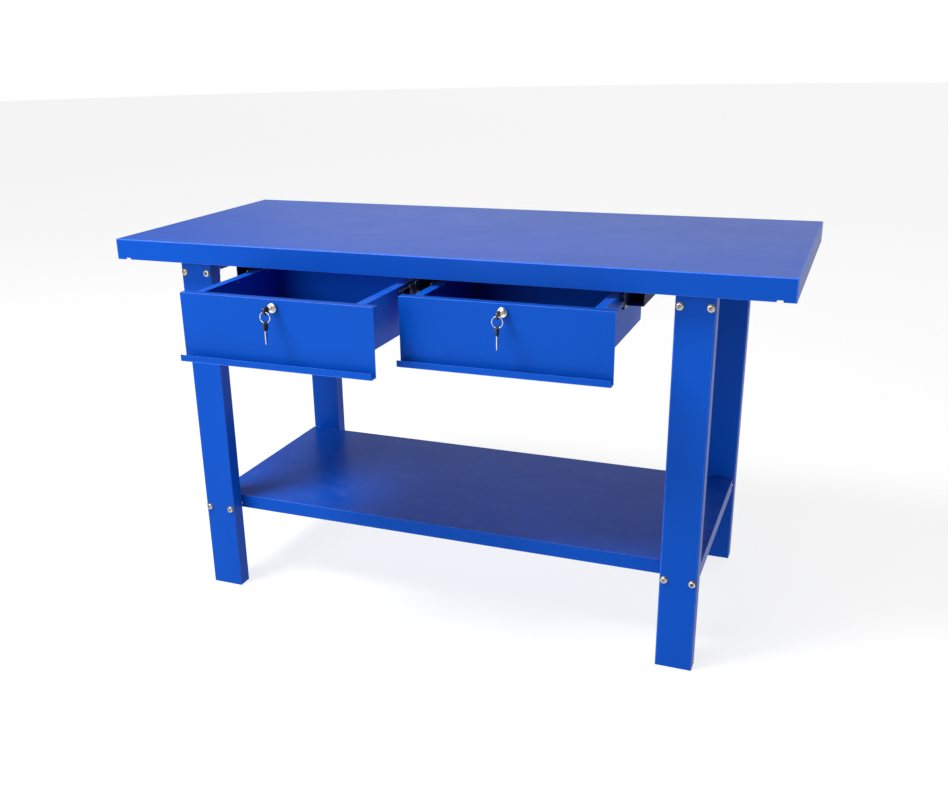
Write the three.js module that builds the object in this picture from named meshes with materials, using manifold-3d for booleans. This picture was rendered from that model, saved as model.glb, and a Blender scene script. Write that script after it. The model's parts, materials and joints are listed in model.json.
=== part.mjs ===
// Steel workbench with two lockable drawers and a lower shelf.
// Millimetres, +Z up, the front of the bench faces -Y.
// The origin is on the floor, under the middle of the bench's outline as it stands here,
// with both drawers partly drawn out.

import * as THREE from 'three';
import { mergeVertices } from 'three/addons/utils/BufferGeometryUtils.js';
import Module from 'manifold-3d';

const wasm = await Module();
wasm.setup();

// ---------------------------------------------------------------- driving sizes

// Worktop: one folded sheet with an apron and a return flange all round
const topLength = 1500;
const topDepth = 655;
const benchHeight = 873;
const topSheet = 1.5;
const apronHeight = 46.5;
const apronFlange = 16;
const reliefStart = 36; // from the corner to the far end of a relief notch
const reliefWidth = 12;
const reliefHeight = 4;

// Legs: rectangular tube
const legWidth = 79;
const legDepth = 38;
const legWall = 2;
const legEndInset = 146; // end of the worktop to the outer side of a leg
const legFrontInset = 36.5;
const legRearInset = 18;

// End rails: inverted channels between a front leg and a rear leg
const railNutGap = 3.1; // side of a rail to the nuts beside it
const railWall = 2;
const railTab = 3; // welded end plate
const railTabMargin = 3; // side of the leg to the side of the end plate
const upperRailHeight = 78;
const lowerRailHeight = 28;
const upperTabHeight = 92;

// Lower shelf: a folded sheet that drops over the lower rails
const shelfHeight = 230;
const shelfSheet = 1.5;
const shelfApron = 33;
const shelfEndInset = 3.5;
const shelfFrontGap = 9;
const shelfRearGap = 12;
const shelfCornerGap = 3;

// Leg bolts and nuts
const boltDiameter = 8;
const boltHeadAcross = 13;
const boltHeadHeight = 5.3;
const boltNutHeight = 4;
const boltEdge = 9.9; // side of the leg to the bolt's centre
const upperBoltDrop = 28; // apron's lower edge to the upper bolts
const lowerBoltDrop = 20.5; // shelf surface to the lower bolts

// Drawers
const drawerSideGap = 83; // inner side of a leg to the drawer front
const drawerMiddleGap = 7;
const frontHeight = 141;
const frontSheet = 1.5;
const frontTopGap = 15; // apron's lower edge to the drawer front
const frontSetback = 1; // shut drawer front behind the worktop's front edge
const frontTopFlange = 20;
const lipDepth = 20;
const lipHeight = 14;
const boxHeight = 101;
const boxDepth = 350; // front face of the drawer to the back of its box
const boxSheet = 1.2;
const boxTopFlange = 19.6;
const boxFrontTab = 15;
const frontOverlap = 13; // drawer front past the inner face of its hanger
const leftOpening = 199; // how far each drawer stands open here
const rightOpening = 97.5;

// Hangers: channels under the worktop that carry the drawer slides
const hangerSheet = 2;
const hangerWidth = 35;
const hangerDrop = 37.5; // below the apron's lower edge
const hangerFrontInset = 49.5;
const hangerRearGap = 11.5;
const hangerFlange = 12;

// Telescopic slides, three members on each side of a drawer
const slideGap = 12.7;
const slideSheet = 1.2;
const slideHeight = 27;
const cabinetMemberLength = 315;
const middleMemberLength = 240;
const drawerMemberLength = 180;
const slideNest = 5; // how much shallower a member is than the gap
const slideBallGap = 1.6; // room for the ball rows between two members
const slideTopDrop = 0.8; // top of the drawer to the top of the slide
const slideFrontInset = 36.5; // worktop's front edge to the front of a slide

// Cam locks, keys and key rings
const lockDrop = 16; // top of the drawer front to the lock's centre
const bezelDiameter = 20;
const bezelHeight = 7;
const barrelDiameter = 16;
const plugDiameter = 12;
const nutDiameter = 24;
const nutHeight = 4;
const camCatchGap = 1; // cam behind the flange it turns past
const camThickness = 2;
const camWidth = 12;
const camReach = 34;
const bladeThickness = 2;
const bladeWidth = 7.5;
const bladeLength = 28;
const bladeInPlug = 16;
const bowLength = 19;
const bowWidth = 15;
const bowThickness = 3.5;
const bowHole = 5;
const bowHoleInset = 4.5;
const ringRadius = 11;
const ringWire = 1.8;

// Clearances
const seat = 0.3; // between two pieces that rest on each other
const holeClearance = 0.3; // all round a shank, barrel or blade in its hole
const plugClearance = 0.25;

// ---------------------------------------------------------------- places worked out from them

const topFront = -topDepth / 2;
const topRear = topDepth / 2;
const topUnderside = benchHeight - topSheet;
const apronBottom = benchHeight - apronHeight;
const legOuter = topLength / 2 - legEndInset;
const legInner = legOuter - legWidth;
const legMiddle = (legOuter + legInner) / 2;
const frontLegFace = topFront + legFrontInset;
const frontLegBack = frontLegFace + legDepth;
const rearLegBack = topRear - legRearInset;
const rearLegFace = rearLegBack - legDepth;
const frameTop = topUnderside - seat;
const upperBoltHeight = apronBottom - upperBoltDrop;
const lowerBoltHeight = shelfHeight - lowerBoltDrop;
const shelfUnderside = shelfHeight - shelfSheet;
const nutRadius = boltHeadAcross / Math.sqrt(3);
const railWidth = legWidth - 2 * (boltEdge + nutRadius + railNutGap);
const boltReach = shelfFrontGap - seat; // behind the leg, to just short of the shelf's apron
const boltNutReach = seat + railTab + seat + boltNutHeight; // behind the leg, to the nut's far face
const drawerTop = apronBottom - frontTopGap;
const drawerOuter = legInner - drawerSideGap;
const drawerInner = drawerMiddleGap / 2;
const drawerCentre = (drawerOuter + drawerInner) / 2;
const hangerFace = drawerOuter - frontOverlap;
const middleHangerHalf = drawerInner + frontOverlap;
const boxOuter = hangerFace - slideGap;
const boxInner = middleHangerHalf + slideGap;
const shutFront = topFront + frontSetback;
const slideLip = slideGap - slideNest - slideSheet;
const slideRear = shutFront + boxDepth; // rear ends of the moving members, the drawer shut
const slideCentre = drawerTop - slideTopDrop + slideHeight / 2 - slideHeight;
const lockHeight = drawerTop - lockDrop;
const camBehind = Math.max(frontTopFlange, apronFlange - frontSetback); // what the cam turns past
const camSeat = camBehind + camCatchGap; // front face of the drawer to the cam
const neckLength = bladeLength - bladeInPlug; // blade between the plug and the bow
const bowHoleOut = bezelHeight + neckLength + bowLength - bowHoleInset;
const ringSlack = (bowHole - ringWire) / 2 - seat; // how far a wire hangs off a hole's centre
const openY = { left: shutFront - leftOpening, right: shutFront - rightOpening };
const bowReach = Math.max(bowHoleInset, bowWidth / 2); // how far a bow stands out past its hole
const frontmost = Math.min(openY.left, openY.right) - bowHoleOut - bowReach;
const originY = (frontmost + topRear) / 2;

// ---------------------------------------------------------------- solids

function solidFrom(geometry) {
  const bare = geometry.clone();
  bare.deleteAttribute('normal');
  bare.deleteAttribute('uv');
  const merged = mergeVertices(bare, 1e-4);
  const vertProperties = new Float32Array(merged.attributes.position.array);
  const triVerts = new Uint32Array(merged.index.array);
  return new wasm.Manifold(new wasm.Mesh({ numProp: 3, vertProperties, triVerts }));
}

function geometryFrom(solid) {
  const { vertProperties, triVerts } = solid.getMesh();
  const geometry = new THREE.BufferGeometry();
  geometry.setAttribute('position', new THREE.BufferAttribute(vertProperties, 3));
  geometry.setIndex(new THREE.BufferAttribute(triVerts, 1));
  geometry.computeVertexNormals();
  return geometry;
}

// A block between two values on each axis, given in either order
function block(xs, ys, zs) {
  const sizes = [xs, ys, zs].map(([a, b]) => Math.abs(b - a));
  const middles = [xs, ys, zs].map(([a, b]) => (a + b) / 2);
  return solidFrom(new THREE.BoxGeometry(...sizes).translate(...middles));
}

// A round bar along Y between two values, about the line through x and z
function barY(radius, ys, x, z, sides = 24) {
  const length = Math.abs(ys[1] - ys[0]);
  const bar = new THREE.CylinderGeometry(radius, radius, length, sides);
  return solidFrom(bar.translate(x, (ys[0] + ys[1]) / 2, z));
}

// A hexagonal bar along Y, given by its width across flats
function hexY(across, ys, x, z) {
  return barY(across / Math.sqrt(3), ys, x, z, 6);
}

// An outline of [x, z] points carried along Y
function profileY(points, ys) {
  const outline = new THREE.Shape(points.map(([x, z]) => new THREE.Vector2(x, z)));
  const length = Math.abs(ys[1] - ys[0]);
  const bar = new THREE.ExtrudeGeometry(outline, { depth: length, bevelEnabled: false });
  return solidFrom(bar.rotateX(Math.PI / 2).translate(0, Math.max(...ys), 0));
}

function join(solids) {
  return solids.reduce((whole, piece) => whole.add(piece));
}

function cut(whole, holes) {
  return holes.reduce((rest, hole) => rest.subtract(hole), whole);
}

// ---------------------------------------------------------------- finishes

const finishes = {
  paint: { color: 0x1450b8, roughness: 0.42, metalness: 0.1 },
  darkPaint: { color: 0x101a48, roughness: 0.5, metalness: 0.1 },
  zinc: { color: 0xc4c8cc, roughness: 0.35, metalness: 0.9 },
  chrome: { color: 0xd8d8d8, roughness: 0.12, metalness: 1.0 },
  plastic: { color: 0x141416, roughness: 0.5, metalness: 0.0 },
};

const bench = new THREE.Group();
bench.position.y = -originY;

function add(name, solid, finish) {
  const material = new THREE.MeshStandardMaterial({ ...finishes[finish], flatShading: true });
  const mesh = new THREE.Mesh(geometryFrom(solid), material);
  mesh.name = name;
  bench.add(mesh);
}

// ---------------------------------------------------------------- worktop

// The return flange is cut short of each corner, and a small notch relieves the bend there.
function worktop() {
  const half = topLength / 2;
  const inner = { x: half - topSheet, front: topFront + topSheet, rear: topRear - topSheet };
  const flangeTop = apronBottom + topSheet;
  const outside = block([-half, half], [topFront, topRear], [apronBottom, benchHeight]);
  const hollow = block([-inner.x, inner.x], [inner.front, inner.rear], [flangeTop, topUnderside]);
  const mouth = block(
    [-half + apronFlange, half - apronFlange],
    [topFront + apronFlange, topRear - apronFlange],
    [apronBottom - 1, flangeTop + 1]
  );
  return cut(outside, [hollow, mouth, ...cornerCuts(inner)]);
}

function cornerCuts(inner) {
  const cuts = [];
  const half = topLength / 2;
  const notchEnd = reliefStart - reliefWidth;
  const below = apronBottom - 1;
  for (const side of [-1, 1]) {
    for (const [edge, wall, inward] of [[topFront, inner.front, 1], [topRear, inner.rear, -1]]) {
      // the flange stops at the notch and leaves the corner's two walls bare
      cuts.push(block(
        [side * (half - reliefStart), side * inner.x],
        [wall, edge + inward * reliefStart],
        [below, apronBottom + reliefHeight]
      ));
      cuts.push(block(
        [side * (half - reliefStart), side * (half - notchEnd)],
        [edge - inward, edge + inward * reliefStart],
        [below, apronBottom + reliefHeight]
      ));
      cuts.push(block(
        [side * (half - reliefStart), side * (half + 1)],
        [edge + inward * notchEnd, edge + inward * reliefStart],
        [below, apronBottom + reliefHeight]
      ));
    }
  }
  return cuts;
}

// ---------------------------------------------------------------- legs, rails and shelf

function boltColumns(side) {
  return [side * (legOuter - boltEdge), side * (legInner + boltEdge)];
}

function boltHoles(side, ys, heights) {
  const radius = boltDiameter / 2 + holeClearance;
  const holes = [];
  for (const z of heights) {
    for (const x of boltColumns(side)) {
      holes.push(barY(radius, ys, x, z, 16));
    }
  }
  return holes;
}

function leg(side, face) {
  const xs = [side * legInner, side * legOuter];
  const ys = [face, face + legDepth];
  const tube = block(xs, ys, [0, frameTop]);
  const bore = block(
    [side * (legInner + legWall), side * (legOuter - legWall)],
    [face + legWall, face + legDepth - legWall],
    [-1, frameTop + 1]
  );
  const holes = boltHoles(side, [face - 1, face + legDepth + 1], [upperBoltHeight, lowerBoltHeight]);
  return cut(tube, [bore, ...holes]);
}

// An inverted channel with an end plate against each leg
function endRail(side, top, height, tabHeight, boltHeight) {
  const middle = side * legMiddle;
  const ys = [frontLegBack + seat, rearLegFace - seat];
  const half = railWidth / 2;
  const channel = block([middle - half, middle + half], ys, [top - height, top]);
  const hollow = block(
    [middle - half + railWall, middle + half - railWall],
    ys,
    [top - height - 1, top - railWall]
  );
  const tabXs = [side * (legInner + railTabMargin), side * (legOuter - railTabMargin)];
  const tabZs = [top - tabHeight, top];
  const frontTab = block(tabXs, [ys[0], ys[0] + railTab], tabZs);
  const rearTab = block(tabXs, [ys[1] - railTab, ys[1]], tabZs);
  const whole = join([cut(channel, [hollow]), frontTab, rearTab]);
  return cut(whole, boltHoles(side, [ys[0] - 1, ys[1] + 1], [boltHeight]));
}

// The aprons are cut away at the corners, where the rails pass. They still reach behind the legs.
function lowerShelf() {
  const half = legOuter - shelfEndInset;
  const front = frontLegBack + shelfFrontGap;
  const rear = rearLegFace - shelfRearGap;
  const bottom = shelfHeight - shelfApron;
  const clearOfBolts = boltReach + shelfCornerGap;
  const outside = block([-half, half], [front, rear], [bottom, shelfHeight]);
  const hollow = block(
    [-half + shelfSheet, half - shelfSheet],
    [front + shelfSheet, rear - shelfSheet],
    [bottom - 1, shelfUnderside]
  );
  const corners = [];
  for (const side of [-1, 1]) {
    const xs = [side * (legMiddle - railWidth / 2 - shelfCornerGap), side * (half + 1)];
    const frontYs = [front - 1, Math.max(front + shelfSheet, frontLegBack + clearOfBolts)];
    const rearYs = [Math.min(rear - shelfSheet, rearLegFace - clearOfBolts), rear + 1];
    corners.push(block(xs, frontYs, [bottom - 1, shelfUnderside]));
    corners.push(block(xs, rearYs, [bottom - 1, shelfUnderside]));
  }
  return cut(outside, [hollow, ...corners]);
}

// A bolt and its nut as fitted, the head outside the leg, the nut behind the rail's end plate
function legBolt(x, z, face, inward) {
  const at = (depth) => face + inward * depth;
  const end = legDepth + boltReach;
  const nutEnd = legDepth + boltNutReach;
  const head = hexY(boltHeadAcross, [at(-seat - boltHeadHeight), at(-seat)], x, z);
  const shank = barY(boltDiameter / 2, [at(-seat - 1), at(end)], x, z, 16);
  const nut = hexY(boltHeadAcross, [at(nutEnd - boltNutHeight), at(nutEnd)], x, z);
  return join([head, shank, nut]);
}

function frame() {
  add('worktop', worktop(), 'paint');
  add('lower_shelf', lowerShelf(), 'paint');
  for (const [side, sideName] of [[-1, 'left'], [1, 'right']]) {
    add(`leg_front_${sideName}`, leg(side, frontLegFace), 'paint');
    add(`leg_rear_${sideName}`, leg(side, rearLegFace), 'paint');
    const upper = endRail(side, frameTop, upperRailHeight, upperTabHeight, upperBoltHeight);
    add(`upper_end_rail_${sideName}`, upper, 'paint');
    const railTop = shelfUnderside - seat;
    const lower = endRail(side, railTop, lowerRailHeight, lowerRailHeight, lowerBoltHeight);
    add(`lower_end_rail_${sideName}`, lower, 'paint');
    for (const [face, inward, row] of [[frontLegFace, 1, 'front'], [rearLegBack, -1, 'rear']]) {
      for (const [z, level] of [[upperBoltHeight, 'upper'], [lowerBoltHeight, 'lower']]) {
        const [outer, inner] = boltColumns(side);
        const stem = `bolt_${row}_${sideName}_${level}`;
        add(`${stem}_outer`, legBolt(outer, z, face, inward), 'zinc');
        add(`${stem}_inner`, legBolt(inner, z, face, inward), 'zinc');
      }
    }
  }
}

// ---------------------------------------------------------------- hangers and slides

// A channel that is open at the top, with two flanges under the worktop
function hanger(left, right) {
  const ys = [topFront + hangerFrontInset, topRear - apronFlange - hangerRearGap];
  const bottom = apronBottom - hangerDrop;
  const channel = block([left, right], ys, [bottom, frameTop]);
  const hollow = block(
    [left + hangerSheet, right - hangerSheet],
    ys,
    [bottom + hangerSheet, frameTop + 1]
  );
  const flangeZs = [frameTop - hangerSheet, frameTop];
  const leftFlange = block([left - hangerFlange, left + hangerSheet], ys, flangeZs);
  const rightFlange = block([right - hangerSheet, right + hangerFlange], ys, flangeZs);
  return join([cut(channel, [hollow]), leftFlange, rightFlange]);
}

// One C-shaped member. It starts at the plate's face and its lips point along `way`.
function slideMember(plateFace, way, height, ys) {
  const half = height / 2;
  const inside = half - slideSheet;
  const plate = plateFace + way * slideSheet;
  const tip = plateFace + way * (slideSheet + slideLip);
  const points = [
    [plateFace, -half], [tip, -half], [tip, -inside], [plate, -inside],
    [plate, inside], [tip, inside], [tip, half], [plateFace, half],
  ];
  const placed = points.map(([x, z]) => [x, z + slideCentre]);
  return profileY(placed, ys);
}

// Three nested members between a hanger's face and the side of a drawer's box
function slide(name, hangerX, boxX, opening) {
  const way = Math.sign(boxX - hangerX);
  const front = topFront + slideFrontInset;
  const step = 2 * (slideSheet + slideBallGap);
  const middleFace = hangerX + way * (seat + slideSheet + slideBallGap / 2);
  const endedAt = (rear, length) => [rear - length, rear];
  const middleYs = endedAt(slideRear - opening / 2, middleMemberLength);
  const drawerYs = endedAt(slideRear - opening, drawerMemberLength);
  const cabinetYs = [front, front + cabinetMemberLength];
  const cabinet = slideMember(hangerX + way * seat, way, slideHeight, cabinetYs);
  const middle = slideMember(middleFace, way, slideHeight - step, middleYs);
  const drawer = slideMember(boxX - way * seat, -way, slideHeight - 2 * step, drawerYs);
  add(`${name}_cabinet_member`, cabinet, 'zinc');
  add(`${name}_middle_member`, middle, 'zinc');
  add(`${name}_drawer_member`, drawer, 'zinc');
}

function hangers() {
  add('hanger_left', hanger(-hangerFace - hangerWidth, -hangerFace), 'darkPaint');
  add('hanger_middle', hanger(-middleHangerHalf, middleHangerHalf), 'darkPaint');
  add('hanger_right', hanger(hangerFace, hangerFace + hangerWidth), 'darkPaint');
}

// ---------------------------------------------------------------- drawers

// A folded front: a flange back along the top, and a lip forward and up along the bottom
function drawerFront(xs, y) {
  const bottom = drawerTop - frontHeight;
  const plate = block(xs, [y, y + frontSheet], [bottom, drawerTop]);
  const flange = block(xs, [y, y + frontTopFlange], [drawerTop - frontSheet, drawerTop]);
  const tray = block(xs, [y - lipDepth, y + frontSheet], [bottom, bottom + frontSheet]);
  const lip = block(xs, [y - lipDepth, y - lipDepth + frontSheet], [bottom, bottom + lipHeight]);
  const middle = (xs[0] + xs[1]) / 2;
  const lockYs = [y - 1, y + frontSheet + 1];
  const lockHole = barY(barrelDiameter / 2 + holeClearance, lockYs, middle, lockHeight);
  return cut(join([plate, flange, tray, lip]), [lockHole]);
}

// An open tray with flanges turned in along its rim and tabs that meet the drawer front
function drawerBox(xs, y) {
  const front = y + frontSheet + seat;
  const rear = y + boxDepth;
  const bottom = drawerTop - boxHeight;
  const outside = block(xs, [front, rear], [bottom, drawerTop]);
  const hollow = block(
    [xs[0] + boxSheet, xs[1] - boxSheet],
    [front + boxSheet, rear - boxSheet],
    [bottom + boxSheet, drawerTop - boxSheet]
  );
  const mouth = block(
    [xs[0] + boxTopFlange, xs[1] - boxTopFlange],
    [front - 1, rear - boxTopFlange],
    [drawerTop - 2 * boxSheet, drawerTop + 1]
  );
  const window = block(
    [xs[0] + boxFrontTab, xs[1] - boxFrontTab],
    [front - 1, front + boxSheet + 1],
    [bottom + boxSheet, drawerTop + 1]
  );
  const underFlange = block(
    [xs[0] - 1, xs[1] + 1],
    [front - 1, y + frontTopFlange + seat],
    [drawerTop - frontSheet - seat, drawerTop + 1]
  );
  return cut(outside, [hollow, mouth, window, underFlange]);
}

// ---------------------------------------------------------------- locks and keys

function lockBody(x, y) {
  const bezel = barY(bezelDiameter / 2, [y - bezelHeight, y - seat], x, lockHeight, 32);
  const barrel = barY(barrelDiameter / 2, [y - bezelHeight / 2, y + camSeat - seat], x, lockHeight);
  const bore = barY(plugDiameter / 2 + plugClearance, [y - bezelHeight - 1, y + camSeat], x, lockHeight);
  return cut(join([bezel, barrel]), [bore]);
}

function lockNut(x, y) {
  const ys = [y + frontSheet + seat, y + frontSheet + seat + nutHeight];
  const bore = barY(barrelDiameter / 2 + holeClearance, [ys[0] - 1, ys[1] + 1], x, lockHeight);
  return cut(hexY(nutDiameter, ys, x, lockHeight), [bore]);
}

// The plug turns in the barrel. Its keyway is open at the front, and a square tail carries the cam.
function lockPlug(x, y) {
  const plug = barY(plugDiameter / 2, [y - bezelHeight, y + camSeat - seat], x, lockHeight);
  const tailHalf = plugDiameter / 4;
  const tail = block(
    [x - tailHalf, x + tailHalf],
    [y + camSeat - 1, y + camSeat + camThickness + 1],
    [lockHeight - tailHalf, lockHeight + tailHalf]
  );
  const keyway = block(
    [x - bladeThickness / 2 - holeClearance, x + bladeThickness / 2 + holeClearance],
    [y - bezelHeight - 1, y - bezelHeight + bladeInPlug + seat],
    [lockHeight - bladeWidth / 2 - holeClearance, lockHeight + bladeWidth / 2 + holeClearance]
  );
  return cut(join([plug, tail]), [keyway]);
}

// Points to the left while the drawer is unlocked, and up behind the return flange when locked
function lockCam(x, y) {
  const ys = [y + camSeat, y + camSeat + camThickness];
  const arm = block([x - camReach, x], ys, [lockHeight - camWidth / 2, lockHeight + camWidth / 2]);
  const eye = barY(camWidth / 2, ys, x, lockHeight);
  const holeHalf = plugDiameter / 4 + holeClearance;
  const hole = block(
    [x - holeHalf, x + holeHalf],
    [ys[0] - 1, ys[1] + 1],
    [lockHeight - holeHalf, lockHeight + holeHalf]
  );
  return cut(join([arm, eye]), [hole]);
}

// A key in its own frame: the bow's hole at the origin, the blade along -Z, flat in the YZ plane
function keySolid() {
  const top = bowHoleInset;
  const bottom = top - bowLength;
  const round = bowWidth / 3;
  const bow = new THREE.Shape();
  bow.moveTo(-bowWidth / 2 + round, bottom);
  bow.lineTo(bowWidth / 2 - round, bottom);
  bow.absarc(bowWidth / 2 - round, bottom + round, round, -Math.PI / 2, 0, false);
  bow.absarc(bowWidth / 2 - round, top - round, round, 0, Math.PI / 2, false);
  bow.absarc(-bowWidth / 2 + round, top - round, round, Math.PI / 2, Math.PI, false);
  bow.absarc(-bowWidth / 2 + round, bottom + round, round, Math.PI, 1.5 * Math.PI, false);
  const hole = new THREE.Path();
  hole.absarc(0, 0, bowHole / 2, 0, 2 * Math.PI, true);
  bow.holes.push(hole);
  const slabForm = { depth: bowThickness, bevelEnabled: false, curveSegments: 6 };
  const slab = new THREE.ExtrudeGeometry(bow, slabForm);
  slab.translate(0, 0, -bowThickness / 2);
  const tip = bladeWidth / 3;
  const blade = new THREE.Shape();
  blade.moveTo(-bladeWidth / 2, bottom + 1);
  blade.lineTo(-bladeWidth / 2, bottom - bladeLength + tip);
  blade.lineTo(-bladeWidth / 2 + tip, bottom - bladeLength);
  blade.lineTo(bladeWidth / 2 - tip, bottom - bladeLength);
  blade.lineTo(bladeWidth / 2, bottom - bladeLength + tip);
  blade.lineTo(bladeWidth / 2, bottom + 1);
  const strip = new THREE.ExtrudeGeometry(blade, { depth: bladeThickness, bevelEnabled: false });
  strip.translate(0, 0, -bladeThickness / 2);
  // outline axes to the key's own: across the bow to Y, along the key to Z, thickness to X
  const turn = new THREE.Matrix4().set(0, 0, 1, 0, 1, 0, 0, 0, 0, 1, 0, 0, 0, 0, 0, 1);
  return join([solidFrom(slab.applyMatrix4(turn)), solidFrom(strip.applyMatrix4(turn))]);
}

function addKey(name, x, y, z, tilt) {
  add(name, keySolid(), 'plastic');
  const key = bench.children.at(-1);
  key.rotation.x = tilt;
  key.position.set(x, y, z);
}

function addRing(name, x, y, z) {
  const ring = new THREE.TorusGeometry(ringRadius, ringWire / 2, 8, 32).rotateX(Math.PI / 2);
  add(name, solidFrom(ring.translate(x, y, z)), 'chrome');
}

function lock(name, x, y) {
  add(`${name}_lock_body`, lockBody(x, y), 'chrome');
  add(`${name}_lock_nut`, lockNut(x, y), 'zinc');
  add(`${name}_lock_plug`, lockPlug(x, y), 'chrome');
  add(`${name}_lock_cam`, lockCam(x, y), 'zinc');
  // the inserted key points into the lock, so its blade runs along +Y
  const holeY = y - bowHoleOut;
  addKey(`${name}_key`, x, holeY, lockHeight, Math.PI / 2);
  const ringZ = lockHeight - ringSlack - ringRadius;
  addRing(`${name}_key_ring`, x, holeY, ringZ);
  addKey(`${name}_spare_key`, x, holeY, ringZ - ringRadius - ringSlack, 0);
}

function drawer(name, side, opening) {
  const y = openY[name];
  const xs = [side * drawerInner, side * drawerOuter].sort((a, b) => a - b);
  const boxXs = [side * boxInner, side * boxOuter].sort((a, b) => a - b);
  add(`${name}_drawer_front`, drawerFront(xs, y), 'paint');
  add(`${name}_drawer_box`, drawerBox(boxXs, y), 'paint');
  slide(`${name}_outer_slide`, side * hangerFace, side * boxOuter, opening);
  slide(`${name}_inner_slide`, side * middleHangerHalf, side * boxInner, opening);
  lock(name, side * drawerCentre, y);
}

// ---------------------------------------------------------------- the bench

frame();
hangers();
drawer('left', -1, leftOpening);
drawer('right', 1, rightOpening);

const workbench = new THREE.Group();
workbench.add(bench);

export default workbench;
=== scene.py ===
"""Looks of a steel workbench with two lockable drawers and a lower shelf."""

import json
import math

import bmesh
import bpy
from mathutils import Euler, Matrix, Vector


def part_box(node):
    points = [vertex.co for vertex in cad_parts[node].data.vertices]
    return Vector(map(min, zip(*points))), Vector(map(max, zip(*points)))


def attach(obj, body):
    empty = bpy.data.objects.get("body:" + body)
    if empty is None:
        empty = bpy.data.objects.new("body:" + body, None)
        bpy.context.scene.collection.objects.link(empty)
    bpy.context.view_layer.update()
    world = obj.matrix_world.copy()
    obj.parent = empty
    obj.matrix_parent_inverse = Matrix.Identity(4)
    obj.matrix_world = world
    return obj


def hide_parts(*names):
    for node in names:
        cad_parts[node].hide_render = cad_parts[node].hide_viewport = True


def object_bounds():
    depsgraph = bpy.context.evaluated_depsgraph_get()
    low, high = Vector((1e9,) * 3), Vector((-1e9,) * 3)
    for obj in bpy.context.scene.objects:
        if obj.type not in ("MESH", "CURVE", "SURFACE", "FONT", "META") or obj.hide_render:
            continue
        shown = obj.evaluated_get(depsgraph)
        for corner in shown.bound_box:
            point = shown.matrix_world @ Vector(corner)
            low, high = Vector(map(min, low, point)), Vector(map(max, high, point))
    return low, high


bl_info = {
    "name": "Steel Workbench",
    "version": (1, 0, 0),
    "blender": (4, 5, 0),
    "location": "View3D > Sidebar > Workbench",
    "description": "Builds the finished pieces of a steel workbench on its packed frame",
    "category": "Object",
}

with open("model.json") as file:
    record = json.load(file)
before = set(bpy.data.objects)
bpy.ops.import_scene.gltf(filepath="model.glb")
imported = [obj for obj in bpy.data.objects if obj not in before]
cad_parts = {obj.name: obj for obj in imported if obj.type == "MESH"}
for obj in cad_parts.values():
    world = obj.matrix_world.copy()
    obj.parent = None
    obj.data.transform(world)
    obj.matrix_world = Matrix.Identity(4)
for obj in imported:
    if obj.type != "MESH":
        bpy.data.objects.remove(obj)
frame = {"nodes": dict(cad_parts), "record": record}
cad_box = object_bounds()

SIDES = ("left", "right")
# the powder coat paints the faces with this mark paler, as a painted highlight on the folds
FOLD_MARK = "fold"  # the attribute that is 1 on the rounded edges of a piece
THIN_SHEET = 0.0012  # the sheet of the drawer boxes and the slides
RIVET_SHARES = (0.12, 0.5, 0.86)  # where the rivets are along a drawer box
FLOOR_DROP = 0.0005  # how far the floor is below the feet
CAMERA_SHIFT = (0.0292, 0.0451)

# each lamp's place, the point that it is aimed at and its diameter
LAMPS = {
    "key": ((-1.9, -2.0, 4.4), (0.0, 0.0, 0.6), 1.6),
    "front": ((-1.3, -4.2, 1.9), (0.0, 0.0, 0.6), 2.6),
    "fill": ((3.4, -2.6, 2.4), (0.2, 0.0, 0.5), 2.4),
}

# each lock part's finish and the rounding of its edges
LOCK_PARTS = {
    "lock_body": ("lock_chrome", 0.0011),
    "lock_plug": ("lock_chrome", 0.0004),
    "lock_nut": ("fastener_zinc", 0.0006),
    "lock_cam": ("fastener_zinc", 0.0004),
}


# ------------------------------------------------------------------ node trees


class Wire:
    """A socket in a node tree that Python arithmetic works on."""

    def __init__(self, nodes, socket):
        self.nodes = nodes
        self.socket = socket

    def _math(self, operation, *values):
        inputs = dict(enumerate(values))
        return self.nodes.add("ShaderNodeMath", {"operation": operation}, inputs)

    def __add__(self, other):
        return self._math("ADD", self, other)

    def __radd__(self, other):
        return self._math("ADD", other, self)

    def __sub__(self, other):
        return self._math("SUBTRACT", self, other)

    def __rsub__(self, other):
        return self._math("SUBTRACT", other, self)

    def __mul__(self, other):
        return self._math("MULTIPLY", self, other)

    def __rmul__(self, other):
        return self._math("MULTIPLY", other, self)

    def between(self, low, high):
        """0 below low, 1 above high, and smooth in between."""
        settings = {"interpolation_type": "SMOOTHSTEP"}
        inputs = {"Value": self, "From Min": low, "From Max": high}
        return self.nodes.add("ShaderNodeMapRange", settings, inputs)


class Nodes:
    """Adds nodes to one tree."""

    def __init__(self, tree):
        self.tree = tree

    def add(self, kind, settings=None, inputs=None, output=0):
        """One node: its settings first, then the values or links of its sockets."""
        node = self.tree.nodes.new(kind)
        for key, value in (settings or {}).items():
            setattr(node, key, value)
        for key, value in (inputs or {}).items():
            self.feed(node.inputs[key], value)
        return Wire(self, node.outputs[output]) if len(node.outputs) else node

    def feed(self, socket, value):
        if isinstance(value, Wire):
            self.tree.links.new(value.socket, socket)
        else:
            socket.default_value = value


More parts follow.
